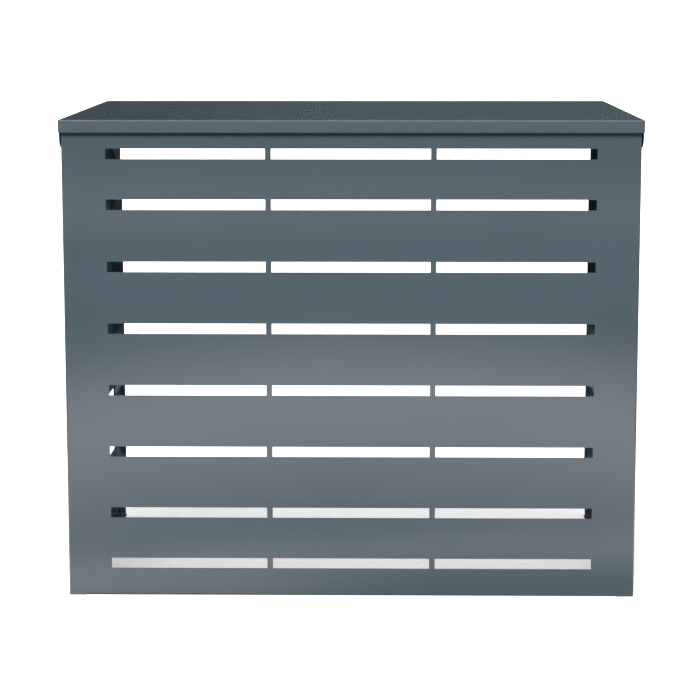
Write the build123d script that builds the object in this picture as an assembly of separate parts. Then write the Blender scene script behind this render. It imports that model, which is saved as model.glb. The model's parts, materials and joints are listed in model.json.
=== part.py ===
"""A folded sheet-steel equipment enclosure: slotted front and sides, open back and bottom, and a lid that
turns on two pivot bolts at the rear. Millimetres, +X right, front facing -Y, +Z up.

The origin is on the floor, under the middle of the body. The lid and whatever follows its
slope are drawn level first, and then turned about the lid's upper front edge by slope()."""

from build123d import *
from math import atan2, cos, degrees, radians, sin, tan
import os

# Sheet and bends
SHEET = 1.5
BEND_INSIDE = 1.5
BEND_OUTSIDE = BEND_INSIDE + SHEET
BEND_MIDDLE = BEND_INSIDE + SHEET / 2

# How far a cut runs past the faces that it goes through
CUT = 1.0

# Body
BODY_WIDTH = 1000.0
BODY_DEPTH = 560.0
HALF_WIDTH = BODY_WIDTH / 2
FRONT_Y = -BODY_DEPTH / 2
REAR_Y = BODY_DEPTH / 2
FLANGE = 24.0
FRONT_FLANGE_HALF = 470.0

# Lid
LID_FRONT_HEIGHT = 842.0
LID_RISE = 16.0
LID_FRONT_OVERHANG = 10.0
LID_SIDE_OVERHANG = 4.0
LID_LIP = 22.0
LID_SKIRT = 50.0
LID_CORNER = 6.0
SKIRT_SETBACK = 14.0
SKIRT_FRONT_ROUND = 20.0
SKIRT_REAR_ROUND = 15.0
LID_HALF_WIDTH = HALF_WIDTH + LID_SIDE_OVERHANG
LID_FRONT_Y = FRONT_Y - LID_FRONT_OVERHANG
LID_REAR_Y = REAR_Y
LID_SLOPE = degrees(atan2(LID_RISE, LID_REAR_Y - LID_FRONT_Y))
LID_UNDERSIDE = LID_FRONT_HEIGHT - SHEET
LID_GAP = 4.5
BODY_TOP = LID_UNDERSIDE - LID_GAP

# Ventilation slots: rows by the height of their middle, from the bottom up
SLOT_ROWS = (58.4, 150.1, 259.6, 369.2, 478.3, 586.8, 695.2, 783.1)
SLOT_HEIGHT = 18.3
SLOT_BRIDGE = 10.0
FRONT_SLOT_COLUMNS = 3
FRONT_SLOT_LENGTH = 276.0
SIDE_SLOT_COLUMNS = 2
SIDE_SLOT_FRONT = -204.0
SIDE_SLOT_REAR = 270.0

# Side panels lap inside the front panel's returns
FRONT_RETURN = 28.0
SIDE_OUTER = HALF_WIDTH - SHEET
SIDE_INNER = SIDE_OUTER - SHEET
SIDE_SETBACK = 4.0
SIDE_FRONT_Y = FRONT_Y + SIDE_SETBACK
REAR_RETURN = 12.0
REAR_RETURN_BOTTOM = 30.0
REAR_RETURN_TOP = 739.0
REAR_FLANGE_X = 487.0
REAR_CORNER_ROUND = 12.0
TOP_FLANGE_FRONT = -246.0
TOP_FLANGE_REAR = 240.0
TOP_FLANGE_X = 487.0
BOTTOM_FLANGE_FRONT = -250.0
BOTTOM_FLANGE_REAR = 274.0

# Lid pivot, drawn level and measured from the lid's rear end and upper face
PIVOT_FROM_REAR = 20.0
PIVOT_DROP = 26.5
PIVOT_SLEEVE_RADIUS = 5.95
PIVOT_HOLE_RADIUS = 6.0
PIVOT_COLLAR_RADIUS = 12.0
PIVOT_PLAY = 0.2
PIVOT_BOLT_RADIUS = 4.0
PIVOT_HEAD_RADIUS = 9.0
PIVOT_HEAD = 3.8
PIVOT_END_X = 484.0

# Rear top rail
RAIL_BOTTOM = 774.0
RAIL_TOP = 840.0
RAIL_DEPTH = 26.0
RAIL_HALF = 474.0
RAIL_TAB_INNER = 479.5
RAIL_TAB_OUTER = 495.0
RAIL_TAB_BOTTOM = 765.0
RAIL_TAB_TOP = 836.0
RAIL_SCREW_HEIGHTS = (776.0, 796.0)

# Lid stiffeners
STIFFENER_SHEET = 1.2
STIFFENER_HALF_LENGTH = 470.0
STIFFENER_DEPTH = 18.0
STIFFENER_FRONT_Y = -100.0
STIFFENER_REAR_Y = 170.0
STIFFENER_BEND = 1.8
HAT_CROWN = 11.0
HAT_WAIST = 16.0
HAT_BRIM = 32.0

# Fixings
M5_RADIUS = 2.5
M5_HOLE_RADIUS = 2.75
M5_WASHER_RADIUS = 5.0
M5_WASHER = 1.0
M5_NUT_FLATS = 8.0
M5_NUT = 4.7
M5_HEAD_RADIUS = 4.75
M5_HEAD = 2.6
RAIL_SCREW_LENGTH = 14.0
M8_HOLE_RADIUS = 4.2
M8_WASHER_RADIUS = 8.0
M8_WASHER = 1.6
M8_NUT_FLATS = 13.0
M8_NUT = 8.0
THREAD_PLAY = 0.05
HEAD_RIM = 0.3
HEAD_SOCKET = 0.33
HEAD_SOCKET_FLOOR = 0.4
JOINT_STUD_Y = FRONT_Y + 16.0
JOINT_STUD_HEIGHTS = (104.0, 314.0, 532.0, 739.0)
JOINT_STUD_LENGTH = 13.0
JOINT_STUD_FOOT_RADIUS = 3.3
JOINT_STUD_FOOT = 0.8
JOINT_HOLE_RADIUS = 3.5
ANCHOR_HOLE_RADIUS = 4.5
ANCHOR_X = 485.5
ANCHOR_Y = 200.0
WALL_HOLE_RADIUS = 3.5
WALL_HOLE_HEIGHTS = (150.0, 690.0)

# Rubber buffers
BUFFER_RADIUS = 7.0
BUFFER_NECK_RADIUS = 3.0
BUFFER_HOLE_RADIUS = 3.1
BUFFER_BULB_RADIUS = 3.9
BUFFER_BULB = 4.5
BUFFER_TIP_RADIUS = 1.6
BUFFER_RIM = 0.55
REST_BUFFER_HEAD = 4.4
STOP_BUFFER_HEAD = 4.0
STOP_BUFFER_Z = 817.0
FRONT_BUFFER_Y = FRONT_Y + 13.0
FRONT_BUFFER_XS = (-430.0, 0.0, 430.0)
SIDE_BUFFER_YS = (-190.0, 190.0)


def block(x0, x1, y0, y1, z0, z1):
    """A box between two corners."""
    size = Box(x1 - x0, y1 - y0, z1 - z0)
    return Pos((x0 + x1) / 2, (y0 + y1) / 2, (z0 + z1) / 2) * size


def rod_x(radius, x0, x1, y, z):
    """A cylinder along X."""
    return Pos((x0 + x1) / 2, y, z) * Rot(0, 90, 0) * Cylinder(radius, abs(x1 - x0))


def rod_y(radius, y0, y1, x, z):
    """A cylinder along Y."""
    return Pos(x, (y0 + y1) / 2, z) * Rot(90, 0, 0) * Cylinder(radius, abs(y1 - y0))


def rod_z(radius, z0, z1, x, y):
    """A cylinder along Z."""
    return Pos(x, y, (z0 + z1) / 2) * Cylinder(radius, abs(z1 - z0))


def slope(shape):
    """Turns a shape drawn level to the lid's slope, about the lid's upper front edge."""
    return shape.rotate(Axis((0, LID_FRONT_Y, LID_FRONT_HEIGHT), (1, 0, 0)), LID_SLOPE)


def sloped_point(y, z):
    """Where slope() takes a point of the level drawing."""
    along, above, turn = y - LID_FRONT_Y, z - LID_FRONT_HEIGHT, radians(LID_SLOPE)
    new_y = LID_FRONT_Y + along * cos(turn) - above * sin(turn)
    new_z = LID_FRONT_HEIGHT + along * sin(turn) + above * cos(turn)
    return new_y, new_z


def folded(points, plane, length, sheet=SHEET, bend=BEND_MIDDLE):
    """Sheet of one thickness, folded along the points of its middle line and extruded from the plane."""
    line = FilletPolyline(*points, radius=bend)
    return extrude(plane * trace(line, line_width=sheet), amount=length)


def across(x):
    """The plane at x that looks along +X, with local x along Y and local y along Z."""
    return Plane(origin=(x, 0, 0), x_dir=(0, 1, 0), z_dir=(1, 0, 0))


def along(y):
    """The plane at y that looks along -Y, with local x along X and local y along Z."""
    return Plane(origin=(0, y, 0), x_dir=(1, 0, 0), z_dir=(0, -1, 0))


def both_sides(shape):
    """A shape and its mirror image on the other side."""
    return [shape, mirror(shape, about=Plane.YZ)]


PIVOT_Y, PIVOT_Z = sloped_point(LID_REAR_Y - PIVOT_FROM_REAR, LID_FRONT_HEIGHT - PIVOT_DROP)
FRONT_TOP = sloped_point(FRONT_BUFFER_Y, BODY_TOP)[1]
SKIRT_INNER = LID_HALF_WIDTH - SHEET


def front_panel():
    """The front, with a return down each side and a flange inward along the top and the bottom."""
    side_line = HALF_WIDTH - SHEET / 2
    front_line = FRONT_Y + SHEET / 2
    return_end = FRONT_Y + FRONT_RETURN
    outline = [
        (-side_line, return_end),
        (-side_line, front_line),
        (side_line, front_line),
        (side_line, return_end),
    ]
    panel = folded(outline, Plane.XY, FRONT_TOP)
    half = FRONT_FLANGE_HALF
    for edge, inward in ((0.0, 1), (FRONT_TOP, -1)):
        low, high = sorted((edge, edge + inward * BEND_OUTSIDE))
        panel -= block(-half, half, FRONT_Y - CUT, FRONT_Y + SHEET, low, high)
        middle = edge + inward * SHEET / 2
        flange = [(front_line, edge + inward * FLANGE), (front_line, middle), (FRONT_Y + FLANGE, middle)]
        panel += folded(flange, across(-half), 2 * half)
    pitch = FRONT_SLOT_LENGTH + SLOT_BRIDGE
    first = -pitch * (FRONT_SLOT_COLUMNS - 1) / 2
    slots = [
        Pos(first + column * pitch, FRONT_Y, height) * Box(FRONT_SLOT_LENGTH, 4 * SHEET, SLOT_HEIGHT)
        for height in SLOT_ROWS
        for column in range(FRONT_SLOT_COLUMNS)
    ]
    through = (FRONT_TOP - SHEET - CUT, FRONT_TOP + CUT)
    holes = [rod_z(BUFFER_HOLE_RADIUS, *through, x, FRONT_BUFFER_Y) for x in FRONT_BUFFER_XS]
    return panel - slots - holes


def side_silhouette():
    """The side panel's outline seen from the side: level bottom, sloping top, rounded upper rear corner."""
    front_y, rear_y = SIDE_FRONT_Y, REAR_Y
    front_top = sloped_point(front_y, BODY_TOP)[1]
    rear_top = front_top + (rear_y - front_y) * tan(radians(LID_SLOPE))
    outline = make_face(
        Polyline((front_y, 0), (rear_y, 0), (rear_y, rear_top), (front_y, front_top), close=True)
    )
    corner = outline.vertices().sort_by_distance((rear_y, rear_top, 0))[0]
    return fillet(corner, REAR_CORNER_ROUND)


def right_side_panel():
    """A slotted side: flange and return at the rear, flanges inward at the bottom and the top."""
    middle = SIDE_OUTER - SHEET / 2
    flange_inner = SIDE_OUTER - FLANGE
    rear_line = REAR_Y - SHEET / 2
    outline = [
        (middle, SIDE_FRONT_Y),
        (middle, rear_line),
        (flange_inner + SHEET / 2, rear_line),
        (flange_inner + SHEET / 2, REAR_Y - REAR_RETURN),
    ]
    tall = LID_FRONT_HEIGHT + LID_RISE
    panel = folded(outline, Plane.XY, tall)
    reach = SIDE_OUTER + CUT
    panel = panel & extrude(across(flange_inner - CUT) * side_silhouette(), amount=FLANGE + 2 * CUT)
    rear_bend = (REAR_Y - REAR_RETURN - CUT, REAR_Y + CUT)
    for low, high in ((-CUT, REAR_RETURN_BOTTOM), (REAR_RETURN_TOP, tall)):
        panel -= block(flange_inner - CUT, flange_inner + BEND_OUTSIDE, *rear_bend, low, high)
    # Bottom flange
    front, rear = BOTTOM_FLANGE_FRONT, BOTTOM_FLANGE_REAR
    panel -= block(SIDE_INNER - CUT, reach, front, rear, -CUT, BEND_OUTSIDE)
    bottom = [(middle, FLANGE), (middle, SHEET / 2), (SIDE_OUTER - FLANGE, SHEET / 2)]
    panel += folded(bottom, along(rear), rear - front)
    # Top flange, which follows the lid's slope
    length = TOP_FLANGE_REAR - TOP_FLANGE_FRONT
    top = (BODY_TOP - BEND_OUTSIDE, BODY_TOP + CUT)
    panel -= slope(block(SIDE_INNER - CUT, reach, TOP_FLANGE_FRONT, TOP_FLANGE_REAR, *top))
    line = BODY_TOP - SHEET / 2
    flange = [(middle, BODY_TOP - FLANGE), (middle, line), (SIDE_OUTER - FLANGE, line)]
    panel += slope(folded(flange, along(TOP_FLANGE_REAR), length))
    # Slots
    pitch = (SIDE_SLOT_REAR - SIDE_SLOT_FRONT + SLOT_BRIDGE) / SIDE_SLOT_COLUMNS
    slot = pitch - SLOT_BRIDGE
    cuts = [
        Pos(middle, SIDE_SLOT_FRONT + slot / 2 + column * pitch, height) * Box(4 * SHEET, slot, SLOT_HEIGHT)
        for height in SLOT_ROWS
        for column in range(SIDE_SLOT_COLUMNS)
    ]
    # Holes
    web = (SIDE_INNER - CUT, reach)
    cuts += [rod_x(JOINT_HOLE_RADIUS, *web, JOINT_STUD_Y, z) for z in JOINT_STUD_HEIGHTS]
    cuts += [rod_x(M8_HOLE_RADIUS, *web, PIVOT_Y, PIVOT_Z)]
    cuts += [rod_z(ANCHOR_HOLE_RADIUS, -CUT, SHEET + CUT, ANCHOR_X, y) for y in (-ANCHOR_Y, ANCHOR_Y)]
    through = (REAR_Y - SHEET - CUT, REAR_Y + CUT)
    cuts += [rod_y(WALL_HOLE_RADIUS, *through, REAR_FLANGE_X, z) for z in WALL_HOLE_HEIGHTS]
    cuts += [rod_y(M5_HOLE_RADIUS, *through, REAR_FLANGE_X, z) for z in RAIL_SCREW_HEIGHTS]
    cuts += [rod_y(BUFFER_HOLE_RADIUS, *through, REAR_FLANGE_X, STOP_BUFFER_Z)]
    for y in SIDE_BUFFER_YS:
        hole = rod_z(BUFFER_HOLE_RADIUS, BODY_TOP - SHEET - CUT, BODY_TOP + CUT, TOP_FLANGE_X, y)
        cuts.append(slope(hole))
    return panel - cuts


def rear_top_rail():
    """A channel across the open back, with an end tab screwed inside each side's rear flange."""
    web_rear = REAR_Y - SHEET
    web_line = web_rear - SHEET / 2
    front_line = web_rear - RAIL_DEPTH
    outline = [
        (front_line, RAIL_TOP - SHEET / 2),
        (web_line, RAIL_TOP - SHEET / 2),
        (web_line, RAIL_BOTTOM + SHEET / 2),
        (front_line, RAIL_BOTTOM + SHEET / 2),
    ]
    rail = folded(outline, across(-RAIL_HALF), 2 * RAIL_HALF)
    web = (web_rear - SHEET, web_rear)
    arm_low = RAIL_BOTTOM + BEND_OUTSIDE
    parts = both_sides(block(RAIL_HALF, RAIL_TAB_OUTER, *web, arm_low, RAIL_TAB_TOP))
    parts += both_sides(block(RAIL_TAB_INNER, RAIL_TAB_OUTER, *web, RAIL_TAB_BOTTOM, RAIL_TAB_TOP))
    for part in parts:
        rail += part
    through = (web[0] - CUT, web[1] + CUT)
    for side in (-1, 1):
        rail -= rod_y(BUFFER_HOLE_RADIUS, *through, side * REAR_FLANGE_X, STOP_BUFFER_Z)
        for z in RAIL_SCREW_HEIGHTS:
            rail -= rod_y(M5_HOLE_RADIUS, *through, side * REAR_FLANGE_X, z)
    return rail


def rounded_box(half_width, front, rear, bottom, top, corner, bend):
    """A box whose front upright edges and front and side top edges are rounded."""
    box = block(-half_width, half_width, front, rear, bottom, top)
    uprights = [e for e in box.edges().filter_by(Axis.Z) if e.center().Y < 0]
    box = fillet(uprights, corner)
    top_edges = box.edges().group_by(Axis.Z)[-1]
    return fillet([e for e in top_edges if e.center().Y < rear - CUT], bend)


def lid_panel():
    """The lid: a flat top, a short lip in front and a deeper skirt outside each side panel."""
    skirt_bottom = LID_FRONT_HEIGHT - LID_SKIRT
    lid = rounded_box(
        LID_HALF_WIDTH, LID_FRONT_Y, LID_REAR_Y, skirt_bottom, LID_FRONT_HEIGHT, LID_CORNER, BEND_OUTSIDE
    )
    lid -= rounded_box(
        SKIRT_INNER,
        LID_FRONT_Y + SHEET,
        LID_REAR_Y + CUT,
        skirt_bottom - CUT,
        LID_UNDERSIDE,
        LID_CORNER - SHEET,
        BEND_INSIDE,
    )
    wide = LID_HALF_WIDTH + CUT
    skirt_front = LID_FRONT_Y + SKIRT_SETBACK
    lip_bottom = LID_FRONT_HEIGHT - LID_LIP
    lid -= block(-wide, wide, LID_FRONT_Y - CUT, skirt_front, skirt_bottom - CUT, lip_bottom)
    for y, radius in ((skirt_front, SKIRT_FRONT_ROUND), (LID_REAR_Y, SKIRT_REAR_ROUND)):
        corners = [
            e
            for e in lid.edges().filter_by(Axis.X)
            if abs(e.center().Y - y) < 0.01 and abs(e.center().Z - skirt_bottom) < 0.01
        ]
        lid = fillet(corners, radius)
    pivot = (LID_REAR_Y - PIVOT_FROM_REAR, LID_FRONT_HEIGHT - PIVOT_DROP)
    lid -= rod_x(PIVOT_HOLE_RADIUS, -wide, wide, *pivot)
    return slope(lid)


def lid_stiffener(y):
    """A hat section across the lid's underside."""
    brim = LID_UNDERSIDE - STIFFENER_SHEET / 2
    crown = LID_UNDERSIDE - STIFFENER_DEPTH + STIFFENER_SHEET / 2
    rear_half = [(y + HAT_CROWN, crown), (y + HAT_WAIST, brim), (y + HAT_BRIM, brim)]
    front_half = [(2 * y - point_y, z) for point_y, z in reversed(rear_half)]
    start = across(-STIFFENER_HALF_LENGTH)
    hat = folded(front_half + rear_half, start, 2 * STIFFENER_HALF_LENGTH, STIFFENER_SHEET, STIFFENER_BEND)
    return slope(hat)


def hex_nut(flats, height, bore):
    """A lock nut from z = 0 up, its upper corners chamfered."""
    nut = extrude(RegularPolygon(flats / 2, 6, major_radius=False), amount=height)
    corner = flats / 3**0.5
    blank = Pos(0, 0, height / 2) * Cylinder(corner, height)
    blank = chamfer(blank.edges().group_by(Axis.Z)[-1], corner - flats / 2)
    return (nut & blank) - rod_z(bore, -CUT, height + CUT, 0, 0)


def dome_arc(radius, rim, top):
    """Half the outline of a spherical cap, from its rim to its top on the axis."""
    rise = top - rim
    sphere = (radius**2 + rise**2) / (2 * rise)
    halfway = radius / 2
    middle = (halfway, top - sphere + (sphere**2 - halfway**2) ** 0.5)
    return ThreePointArc((radius, rim), middle, (0, top))


def dome_head(radius, height):
    """A domed screw head from z = 0 up, with a hexagon socket."""
    rim = height * HEAD_RIM
    outline = make_face(
        [
            Line((0, 0), (radius, 0)),
            Line((radius, 0), (radius, rim)),
            dome_arc(radius, rim, height),
            Line((0, height), (0, 0)),
        ]
    )
    head = revolve(Plane.XZ * outline, Axis.Z)
    socket = RegularPolygon(radius * HEAD_SOCKET, 6, major_radius=False)
    return head - extrude(Plane.XY.offset(height * HEAD_SOCKET_FLOOR) * socket, amount=height)


def washer(radius, thickness, bore):
    """A plain washer from z = 0 up."""
    return rod_z(radius, 0, thickness, 0, 0) - rod_z(bore, -CUT, thickness + CUT, 0, 0)


def buffer(head, grip):
    """A snap-in rubber buffer: head above z = 0, neck as long as the grip, bulb below."""
    rim = head * BUFFER_RIM
    tip = -grip - BUFFER_BULB
    outline = make_face(
        [
            Line((0, head), (0, tip)),
            Line((0, tip), (BUFFER_TIP_RADIUS, tip)),
            Line((BUFFER_TIP_RADIUS, tip), (BUFFER_BULB_RADIUS, -grip)),
            Line((BUFFER_BULB_RADIUS, -grip), (BUFFER_NECK_RADIUS, -grip)),
            Line((BUFFER_NECK_RADIUS, -grip), (BUFFER_NECK_RADIUS, 0)),
            Line((BUFFER_NECK_RADIUS, 0), (BUFFER_RADIUS, 0)),
            Line((BUFFER_RADIUS, 0), (BUFFER_RADIUS, rim)),
            dome_arc(BUFFER_RADIUS, rim, head),
        ]
    )
    return revolve(Plane.XZ * outline, Axis.Z)


# Turns a piece drawn along +Z to face outward on the right, inward on the right, backward or forward
FACE_RIGHT = Rot(0, 90, 0)
FACE_LEFT = Rot(0, -90, 0)
FACE_REAR = Rot(-90, 0, 0)
FACE_FRONT = Rot(90, 0, 0)


def pivot_bush():
    """A flanged bush: its collar spaces the lid's skirt from the side, and the skirt turns on it."""
    collar_end = SKIRT_INNER - PIVOT_PLAY
    sleeve_end = LID_HALF_WIDTH + PIVOT_PLAY
    bush = rod_x(PIVOT_COLLAR_RADIUS, SIDE_OUTER, collar_end, PIVOT_Y, PIVOT_Z)
    bush += rod_x(PIVOT_SLEEVE_RADIUS, collar_end, sleeve_end, PIVOT_Y, PIVOT_Z)
    bore = PIVOT_BOLT_RADIUS + THREAD_PLAY
    return bush - rod_x(bore, SIDE_OUTER - CUT, sleeve_end + CUT, PIVOT_Y, PIVOT_Z)


def pivot_bolt():
    """A domed bolt that clamps the bush to the side panel."""
    head_x = LID_HALF_WIDTH + PIVOT_PLAY
    head = Pos(head_x, PIVOT_Y, PIVOT_Z) * FACE_RIGHT * dome_head(PIVOT_HEAD_RADIUS, PIVOT_HEAD)
    return head + rod_x(PIVOT_BOLT_RADIUS, PIVOT_END_X, head_x, PIVOT_Y, PIVOT_Z)


def pivot_washer():
    """The washer inside the side panel, under the pivot's nut."""
    disc = washer(M8_WASHER_RADIUS, M8_WASHER, PIVOT_BOLT_RADIUS + THREAD_PLAY)
    return Pos(SIDE_INNER, PIVOT_Y, PIVOT_Z) * FACE_LEFT * disc


def pivot_nut():
    """The lock nut inside the side panel."""
    nut = hex_nut(M8_NUT_FLATS, M8_NUT, PIVOT_BOLT_RADIUS + THREAD_PLAY)
    return Pos(SIDE_INNER - M8_WASHER, PIVOT_Y, PIVOT_Z) * FACE_LEFT * nut


def at_joint_studs(piece, x):
    """Copies of a piece that faces inward, at each stud of both front joints."""
    placed = []
    for z in JOINT_STUD_HEIGHTS:
        placed += both_sides(Pos(x, JOINT_STUD_Y, z) * FACE_LEFT * piece)
    return placed


def at_rail_screws(piece, y, turn):
    """Copies of a piece at each screw of the rear rail."""
    placed = []
    for z in RAIL_SCREW_HEIGHTS:
        placed += both_sides(Pos(REAR_FLANGE_X, y, z) * turn * piece)
    return placed


def joint_stud():
    """A weld stud: a thin foot on the front panel's return, and a threaded shank."""
    foot = rod_z(JOINT_STUD_FOOT_RADIUS, 0, JOINT_STUD_FOOT, 0, 0)
    return foot + rod_z(M5_RADIUS, 0, JOINT_STUD_LENGTH, 0, 0)


def rail_screw():
    """A domed screw, its shank below z = 0."""
    return dome_head(M5_HEAD_RADIUS, M5_HEAD) + rod_z(M5_RADIUS, -RAIL_SCREW_LENGTH, 0, 0, 0)


def rest_buffers():
    """The buffers that the closed lid rests on: three in front, two on each side."""
    rest = buffer(REST_BUFFER_HEAD, SHEET)
    placed = [Pos(x, FRONT_BUFFER_Y, FRONT_TOP) * rest for x in FRONT_BUFFER_XS]
    for y in SIDE_BUFFER_YS:
        placed += both_sides(slope(Pos(TOP_FLANGE_X, y, BODY_TOP) * rest))
    return placed


def stop_buffers():
    """The buffers behind the rear flanges that the open lid leans on."""
    stop = buffer(STOP_BUFFER_HEAD, 2 * SHEET)
    return both_sides(Pos(REAR_FLANGE_X, REAR_Y, STOP_BUFFER_Z) * FACE_REAR * stop)


def export(name, solids):
    """Writes one sub-part, or a group of identical ones, as parts/NAME.step."""
    shape = Compound(children=solids) if isinstance(solids, list) else solids
    export_step(shape, f"parts/{name}.step")


os.makedirs("parts", exist_ok=True)
right_side = right_side_panel()
m5_bore = M5_RADIUS + THREAD_PLAY
m5_washer = washer(M5_WASHER_RADIUS, M5_WASHER, m5_bore)
m5_nut = hex_nut(M5_NUT_FLATS, M5_NUT, m5_bore)
web_front = REAR_Y - 2 * SHEET

export("front_panel", front_panel())
export("right_side_panel", right_side)
export("left_side_panel", mirror(right_side, about=Plane.YZ))
export("rear_top_rail", rear_top_rail())
export("lid_panel", lid_panel())
export("lid_front_stiffener", lid_stiffener(STIFFENER_FRONT_Y))
export("lid_rear_stiffener", lid_stiffener(STIFFENER_REAR_Y))
for name, piece in (
    ("pivot_bush", pivot_bush()),
    ("pivot_bolt", pivot_bolt()),
    ("pivot_washer", pivot_washer()),
    ("pivot_nut", pivot_nut()),
):
    right, left = both_sides(piece)
    export(f"right_{name}", right)
    export(f"left_{name}", left)
export("lid_rest_buffers", rest_buffers())
export("lid_stop_buffers", stop_buffers())
export("front_joint_studs", at_joint_studs(joint_stud(), SIDE_OUTER))
export("front_joint_washers", at_joint_studs(m5_washer, SIDE_INNER))
export("front_joint_nuts", at_joint_studs(m5_nut, SIDE_INNER - M5_WASHER))
export("rail_screws", at_rail_screws(rail_screw(), REAR_Y + M5_WASHER, FACE_REAR))
rail_washers = at_rail_screws(m5_washer, REAR_Y, FACE_REAR) + at_rail_screws(m5_washer, web_front, FACE_FRONT)
export("rail_washers", rail_washers)
export("rail_nuts", at_rail_screws(m5_nut, web_front - M5_WASHER, FACE_FRONT))
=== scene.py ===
"""The finished look of the slotted sheet-steel cover: its materials, and a pale studio."""

import json
import math

import bpy
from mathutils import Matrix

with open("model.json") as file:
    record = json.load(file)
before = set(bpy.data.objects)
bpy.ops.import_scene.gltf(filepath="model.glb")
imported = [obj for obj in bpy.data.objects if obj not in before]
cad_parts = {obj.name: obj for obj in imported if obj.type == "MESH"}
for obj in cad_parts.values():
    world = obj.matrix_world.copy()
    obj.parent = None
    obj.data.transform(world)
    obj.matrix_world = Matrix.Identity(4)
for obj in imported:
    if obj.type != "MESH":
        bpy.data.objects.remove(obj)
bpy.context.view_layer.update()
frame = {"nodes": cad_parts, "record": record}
nodes = frame["nodes"]
scene = bpy.context.scene


# Node graph helpers


class Graph:
    """A material's or a world's node tree, with short calls for the nodes that it needs."""

    def __init__(self, tree):
        self.tree = tree
        self.tree.nodes.clear()

    def add(self, kind, inputs=None, **settings):
        """A node, with its settings and with values or links for its inputs."""
        node = self.tree.nodes.new(kind)
        for key, value in settings.items():
            setattr(node, key, value)
        for key, value in (inputs or {}).items():
            self.set(node, key, value)
        return node

    def set(self, node, key, value):
        """Gives an input a value, or links an output to it."""
        if isinstance(value, bpy.types.NodeSocket):
            self.tree.links.new(value, node.inputs[key])
        else:
            node.inputs[key].default_value = value

    def math(self, operation, a, b=0.0, clamp=False):
        """One step of arithmetic."""
        node = self.add("ShaderNodeMath", {0: a, 1: b}, operation=operation, use_clamp=clamp)
        return node.outputs[0]

    def noise(self, where, scale, detail=2.0):
        """A noise value around 0.5, at this many features a metre."""
        inputs = {"Vector": where, "Scale": scale, "Detail": detail, "Roughness": 0.5}
        return self.add("ShaderNodeTexNoise", inputs).outputs["Fac"]

    def fade(self, value, start, end, first=0.0, last=1.0):
        """A smooth change from first to last, as a value goes from start to end."""
        inputs = {"Value": value, "From Min": start, "From Max": end, "To Min": first, "To Max": last}
        return self.add("ShaderNodeMapRange", inputs, interpolation_type="SMOOTHSTEP").outputs["Result"]

    def spread(self, value, low, high):
        """A noise value, widened to the range from low to high."""
        inputs = {"Value": value, "From Min": 0.3, "From Max": 0.7, "To Min": low, "To Max": high}
        return self.add("ShaderNodeMapRange", inputs, clamp=True).outputs["Result"]

    def tint(self, value, dark, light):
        """A colour between dark and light."""
        inputs = {"Factor": value, "A": (*dark, 1), "B": (*light, 1)}
        return self.add("ShaderNodeMix", inputs, data_type="RGBA").outputs["Result"]

    def background(self, colour, strength):
        """Light of one colour and strength, as a world sends it."""
        return self.add("ShaderNodeBackground", {"Color": colour, "Strength": strength}).outputs[0]

    def bump(self, height, depth, below=None):
        """Relief of this depth in metres, which may lie on top of another."""
        inputs = {"Height": height, "Distance": depth, "Strength": 1.0}
        if below is not None:
            inputs["Normal"] = below
        return self.add("ShaderNodeBump", inputs).outputs["Normal"]


def material(name):
    """An empty material with its graph, and the place on the piece that its textures follow."""
    made = bpy.data.materials.new(name)
    made.use_nodes = True
    graph = Graph(made.node_tree)
    where = graph.add("ShaderNodeTexCoord").outputs["Object"]
    return made, graph, where


def shaded(graph, **inputs):
    """The shader and the output of a material."""
    names = {key.replace("_", " "): value for key, value in inputs.items()}
    shader = graph.add("ShaderNodeBsdfPrincipled", names)
    graph.add("ShaderNodeOutputMaterial", {"Surface": shader.outputs["BSDF"]})


def scaled(colour, factor):
    """A colour, darker or lighter by this factor."""
    return tuple(channel * factor for channel in colour)


# Materials

COAT = (0.071, 0.098, 0.117)

# Features in a metre, and the relief's depth in metres: the sheet's waves, the orange peel and its grain
WAVE_SCALE, WAVE_DEPTH = 3.0, 0.0004
PEEL_SCALE, PEEL_DEPTH = 260.0, 0.000008
GRAIN_SCALE, GRAIN_DEPTH = 1500.0, 0.0000005


def powder_coat():
    """Satin powder coat: an orange-peel skin over sheet that is never quite flat."""
    made, g, where = material("powder_coat")
    cloud = g.noise(where, 5.0, 3.0)
    peel = g.noise(where, PEEL_SCALE, 1.0)
    grain = g.noise(where, GRAIN_SCALE, 1.0)
    tone = g.math("ADD", g.math("MULTIPLY", cloud, 0.5), g.math("MULTIPLY", grain, 0.5))
    colour = g.tint(g.spread(tone, 0.0, 1.0), scaled(COAT, 0.94), scaled(COAT, 1.06))
    sheen = g.math("ADD", g.spread(cloud, 0.46, 0.52), g.spread(grain, 0.0, 0.06))
    wavy = g.bump(g.noise(where, WAVE_SCALE, 1.0), WAVE_DEPTH)
    skin = g.bump(peel, PEEL_DEPTH, wavy)
    fine = g.bump(grain, GRAIN_DEPTH, skin)
    shaded(
        g,
        Base_Color=colour,
        Roughness=sheen,
        Specular_IOR_Level=0.1,
        Normal=fine,
        Coat_Weight=1.0,
        Coat_Roughness=0.07,
        Coat_Normal=fine,
    )
    return made


def metal(name, colour, roughness, blotch):
    """Plated or bare steel: a brushed grain in streaks, and blotches of another tone."""
    made, g, where = material(name)
    blotches = g.noise(where, 130.0, 3.0)
    stretch = g.add("ShaderNodeMapping", {"Vector": where, "Scale": (1.0, 1.0, 14.0)}).outputs["Vector"]
    streaks = g.noise(stretch, 900.0, 2.0)
    toned = g.tint(g.spread(blotches, 0.0, 1.0), scaled(colour, 0.86), blotch)
    blotched = g.spread(blotches, roughness - 0.05, roughness + 0.07)
    rough = g.math("ADD", blotched, g.spread(streaks, 0.0, 0.08))
    relief = g.bump(streaks, 0.00001)
    shaded(g, Base_Color=toned, Metallic=1.0, Roughness=rough, Normal=relief)
    return made


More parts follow.
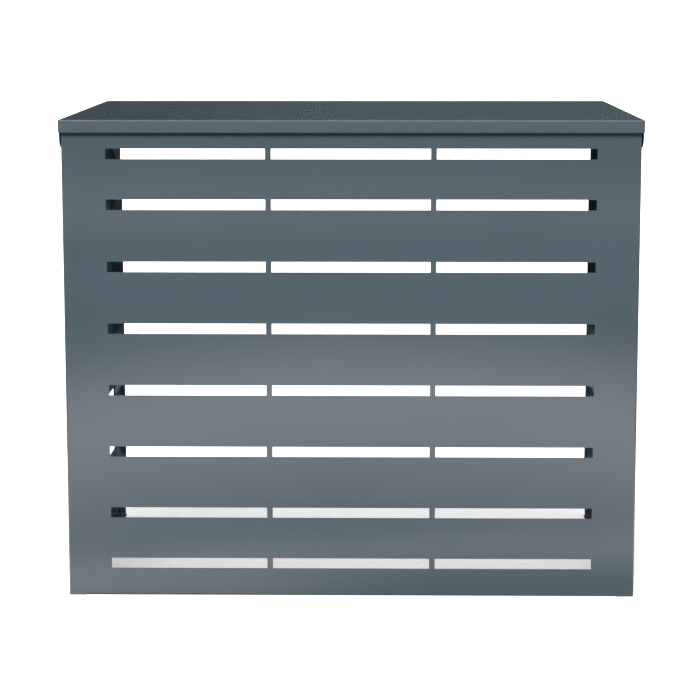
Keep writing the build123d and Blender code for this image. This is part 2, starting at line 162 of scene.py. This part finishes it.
def moulded(name, colour, roughness, relief, specular):
    """Nylon or rubber: a dull moulded skin with a little dust in its grain."""
    made, g, where = material(name)
    grain = g.noise(where, 1400.0, 3.0)
    cloud = g.noise(where, 90.0, 2.0)
    toned = g.tint(g.spread(cloud, 0.0, 1.0), colour, scaled(colour, 1.7))
    rough = g.spread(grain, roughness - 0.06, roughness + 0.08)
    fine = g.bump(grain, relief)
    shaded(g, Base_Color=toned, Roughness=rough, Specular_IOR_Level=specular, Normal=fine)
    return made


finishes = {
    "powder_coated_steel": powder_coat(),
    "zinc_steel": metal("zinc_plate", (0.62, 0.63, 0.62), 0.34, (0.70, 0.68, 0.60)),
    "stainless_steel": metal("stainless", (0.62, 0.61, 0.59), 0.26, (0.70, 0.69, 0.67)),
    "black_nylon": moulded("black_nylon", (0.016, 0.016, 0.018), 0.46, 0.00002, 0.5),
    "black_rubber": moulded("black_rubber", (0.014, 0.014, 0.014), 0.72, 0.00004, 0.35),
}
for row in frame["record"]["subparts"]:
    mesh = nodes[row["node"]].data
    mesh.materials.clear()
    mesh.materials.append(finishes[row["material_slot"]])


# Studio: a pale floor, a white surround, a soft key light and a low light inside

FLOOR_RADII = (2.0, 8.0, 40.0)
FLOOR_CORNERS = 48
# The floor's painted glow: the distances in metres from the object between which it rises, and its strength
# near and far
GLOW_START, GLOW_END = 0.45, 1.0
GLOW_NEAR, GLOW_FAR = 0.44, 1.1


def floor():
    """A wide pale floor under the object, in a few rings so that it isn't one plain quad."""
    mesh = bpy.data.meshes.new("floor")
    count = FLOOR_CORNERS
    points = [(0.0, 0.0, 0.0)]
    for radius in FLOOR_RADII:
        turns = [2 * math.pi * k / count for k in range(count)]
        points += [(radius * math.cos(turn), radius * math.sin(turn), 0.0) for turn in turns]
    faces = [(0, 1 + k, 1 + (k + 1) % count) for k in range(count)]
    for ring in range(len(FLOOR_RADII) - 1):
        near = 1 + ring * count
        far = near + count
        faces += [(near + k, far + k, far + (k + 1) % count, near + (k + 1) % count) for k in range(count)]
    mesh.from_pydata(points, [], faces)
    made, g, where = material("pale_floor")
    cloud = g.noise(where, 1.5, 2.0)
    colour = g.tint(g.spread(cloud, 0.0, 1.0), (0.885, 0.88, 0.88), (0.90, 0.895, 0.895))
    # The floor glows, a painted light that lifts its shadows: weakly near the object, and more strongly
    # away from it, where the glow washes the key light's cast shadow into the white of the surround
    away = g.add("ShaderNodeVectorMath", {0: where}, operation="LENGTH").outputs["Value"]
    glow = g.fade(away, GLOW_START, GLOW_END, GLOW_NEAR, GLOW_FAR)
    shaded(
        g,
        Base_Color=colour,
        Roughness=0.8,
        Specular_IOR_Level=0.1,
        Emission_Color=(1.0, 0.95, 0.945, 1.0),
        Emission_Strength=glow,
    )
    mesh.materials.append(made)
    piece = bpy.data.objects.new("floor", mesh)
    scene.collection.objects.link(piece)
    piece.visible_glossy = False
    piece.visible_diffuse = False


# What the coat's gloss mirrors from ahead is an even dim wall with soft strips across it. A height here is
# half of a direction's Z, plus a half. A strip fades in between its first two heights and out between its
# last two. It may climb to the right and bow toward both sides, and its brightness, which is below zero for
# a dark strip, may have another share on the left than on the right.
WALL = 0.35
STRIPS = (
    {"heights": (0.3623, 0.4023, 0.4058, 0.4288), "brightness": 2.3, "bow": -0.27},
    {"heights": (0.3568, 0.3618, 0.3631, 0.3678), "brightness": 2.5, "climb": 0.02, "right": 0.8},
    {"heights": (0.4438, 0.4533, 0.4563, 0.4713), "brightness": 0.75, "right": 0.8},
    {"heights": (0.4283, 0.4358, 0.4368, 0.4433), "brightness": 0.3},
    {"heights": (0.3498, 0.3535, 0.3548, 0.3575), "brightness": 1.9, "right": 0.0},
    {"heights": (0.28, 0.29, 0.3533, 0.3588), "brightness": -0.3, "left": 0.2},
    {"heights": (0.66, 0.74, 0.90, 1.0), "brightness": 4.0},
)
STRIP_TINT = (0.98, 0.97, 1.01)
WALL_TINT = (0.62, 0.92, 1.12)
# A strip's bends go no farther than this to either side
BEND_REACH = 0.3
# Between these it changes from its share on the left to its share on the right
SHARE_LEFT, SHARE_RIGHT = -0.12, 0.06

# From behind, the gloss mirrors a dusk that is darker on the left. Across X it changes between the two turn
# values, and across Y it gives way to the wall ahead.
DUSK_TINT = (0.66, 0.92, 1.0)
DUSK_LEFT, DUSK_RIGHT = 0.05, 0.085
DUSK_TURN_START, DUSK_TURN_END = -0.14, 0.0
DUSK_START, DUSK_END = 0.35, -0.25

# The fill is low and cool in front, and fuller and whiter from the sides and from behind, with a change
# between these shares of a direction's X and Y
FILL = 0.10
FILL_BESIDE, BESIDE_START, BESIDE_END = 0.9, 0.7, 0.95
FILL_BEHIND, BEHIND_START, BEHIND_END = 0.7, -0.05, 0.5
FILL_TINT = (0.50, 0.88, 1.15)
FULL_TINT = (0.95, 0.985, 1.0)

# What the camera sees behind the object
WHITE = 1.1


def strip(g, height, side, rightward, heights, brightness, climb=0.0, bow=0.0, left=1.0, right=1.0):
    """The brightness that one strip adds to the wall in a direction."""
    low, full, last, high = heights
    side_squared = g.math("MULTIPLY", side, side)
    bend = g.math("ADD", g.math("MULTIPLY", side, climb), g.math("MULTIPLY", side_squared, bow))
    place = g.math("SUBTRACT", height, bend)
    shape = g.math("MULTIPLY", g.fade(place, low, full), g.fade(place, last, high, 1.0, 0.0))
    share = g.fade(rightward, 0.0, 1.0, left * brightness, right * brightness)
    return g.math("MULTIPLY", shape, share)


def mirrored(g, way):
    """The colour and the strength of what the gloss mirrors: the wall ahead and the dusk behind."""
    height = g.math("ADD", g.math("MULTIPLY", way.outputs["Z"], 0.5), 0.5)
    side = g.math("MAXIMUM", g.math("MINIMUM", way.outputs["X"], BEND_REACH), -BEND_REACH)
    rightward = g.fade(side, SHARE_LEFT, SHARE_RIGHT)
    wall = WALL
    for settings in STRIPS:
        wall = g.math("ADD", strip(g, height, side, rightward, **settings), wall)
    wall_colour = g.tint(g.fade(wall, WALL, WALL + 1.0), WALL_TINT, STRIP_TINT)
    dusk = g.fade(side, DUSK_TURN_START, DUSK_TURN_END, DUSK_LEFT, DUSK_RIGHT)
    ahead = g.fade(way.outputs["Y"], DUSK_START, DUSK_END)
    colours = {"Factor": ahead, "A": (*DUSK_TINT, 1), "B": wall_colour}
    colour = g.add("ShaderNodeMix", colours, data_type="RGBA").outputs["Result"]
    strength = g.add("ShaderNodeMix", {"Factor": ahead, "A": dusk, "B": wall}).outputs["Result"]
    return colour, strength


def filled(g, way):
    """The colour and the strength of the soft light from all around."""
    outward = g.math("ABSOLUTE", way.outputs["X"])
    beside = g.fade(outward, BESIDE_START, BESIDE_END, 0.0, FILL_BESIDE)
    behind = g.fade(way.outputs["Y"], BEHIND_START, BEHIND_END, 0.0, FILL_BEHIND)
    more = g.math("MAXIMUM", beside, behind)
    colour = g.tint(g.math("MULTIPLY", more, 2.0, True), FILL_TINT, FULL_TINT)
    return colour, g.math("ADD", more, FILL)


def surround():
    """The world: white to the camera, the strips and the dusk to gloss, and the fill to everything else."""
    world = bpy.data.worlds.new("studio")
    world.use_nodes = True
    scene.world = world
    g = Graph(world.node_tree)
    way = g.add("ShaderNodeSeparateXYZ", {"Vector": g.add("ShaderNodeTexCoord").outputs["Generated"]})
    ray = g.add("ShaderNodeLightPath")
    light = g.background(*filled(g, way))
    for kind, (colour, strength) in (
        ("Is Glossy Ray", mirrored(g, way)),
        ("Is Camera Ray", ((1.0, 1.0, 1.0, 1.0), WHITE)),
    ):
        inputs = {0: ray.outputs[kind], 1: light, 2: g.background(colour, strength)}
        light = g.add("ShaderNodeMixShader", inputs).outputs[0]
    g.add("ShaderNodeOutputWorld", {"Surface": light})


# The key light's height, its turn to the left and its width in the sky, in degrees
KEY_HEIGHT = 38.0
KEY_TO_LEFT = 12.0
KEY_WIDTH = 24.0
KEY_STRENGTH = 1.28 * math.pi


def key_light():
    """A large soft light in front of the object, above and a little to the left."""
    light = bpy.data.lights.new("key", "SUN")
    light.energy = KEY_STRENGTH
    light.angle = math.radians(KEY_WIDTH)
    light.color = (1.0, 0.93, 0.89)
    lamp = bpy.data.objects.new("key", light)
    lamp.rotation_euler = (math.radians(90 - KEY_HEIGHT), 0, math.radians(-KEY_TO_LEFT))
    lamp.visible_glossy = False
    scene.collection.objects.link(lamp)


BOUNCE_WIDTH, BOUNCE_DEPTH = 0.90, 0.48
BOUNCE_PLACE = (0, 0.01, 0.004)
BOUNCE_WATTS = 2.2


def bounce_light():
    """What the floor under the cover sends up into it: a low, cool light, unseen itself."""
    light = bpy.data.lights.new("bounce", "AREA")
    light.shape = "RECTANGLE"
    light.size = BOUNCE_WIDTH
    light.size_y = BOUNCE_DEPTH
    light.energy = BOUNCE_WATTS
    light.color = (0.50, 0.80, 1.0)
    lamp = bpy.data.objects.new("bounce", light)
    lamp.location = BOUNCE_PLACE
    lamp.rotation_euler = (math.pi, 0, 0)
    lamp.visible_camera = False
    lamp.visible_glossy = False
    scene.collection.objects.link(lamp)


# The camera's place in metres, its turns in degrees, its focal length in millimetres, and its shift
EYE = (0.046, -3.378, 0.965)
LOOKING_DOWN = 7.03
TURNED_LEFT = 0.713
FOCAL_LENGTH = 92.57
SHIFT_X, SHIFT_Y = -0.0074, -0.115


def camera():
    """The main view: from a little above the lid's front edge, almost square to the front."""
    lens = bpy.data.cameras.new("camera")
    lens.sensor_width = 36.0
    lens.lens = FOCAL_LENGTH
    lens.shift_x = SHIFT_X
    lens.shift_y = SHIFT_Y
    lens.clip_end = 200.0
    eye = bpy.data.objects.new("camera", lens)
    eye.location = EYE
    eye.rotation_euler = (math.radians(90 - LOOKING_DOWN), 0, math.radians(TURNED_LEFT))
    scene.collection.objects.link(eye)
    scene.camera = eye


floor()
surround()
key_light()
bounce_light()
camera()
scene.view_settings.view_transform = "Standard"
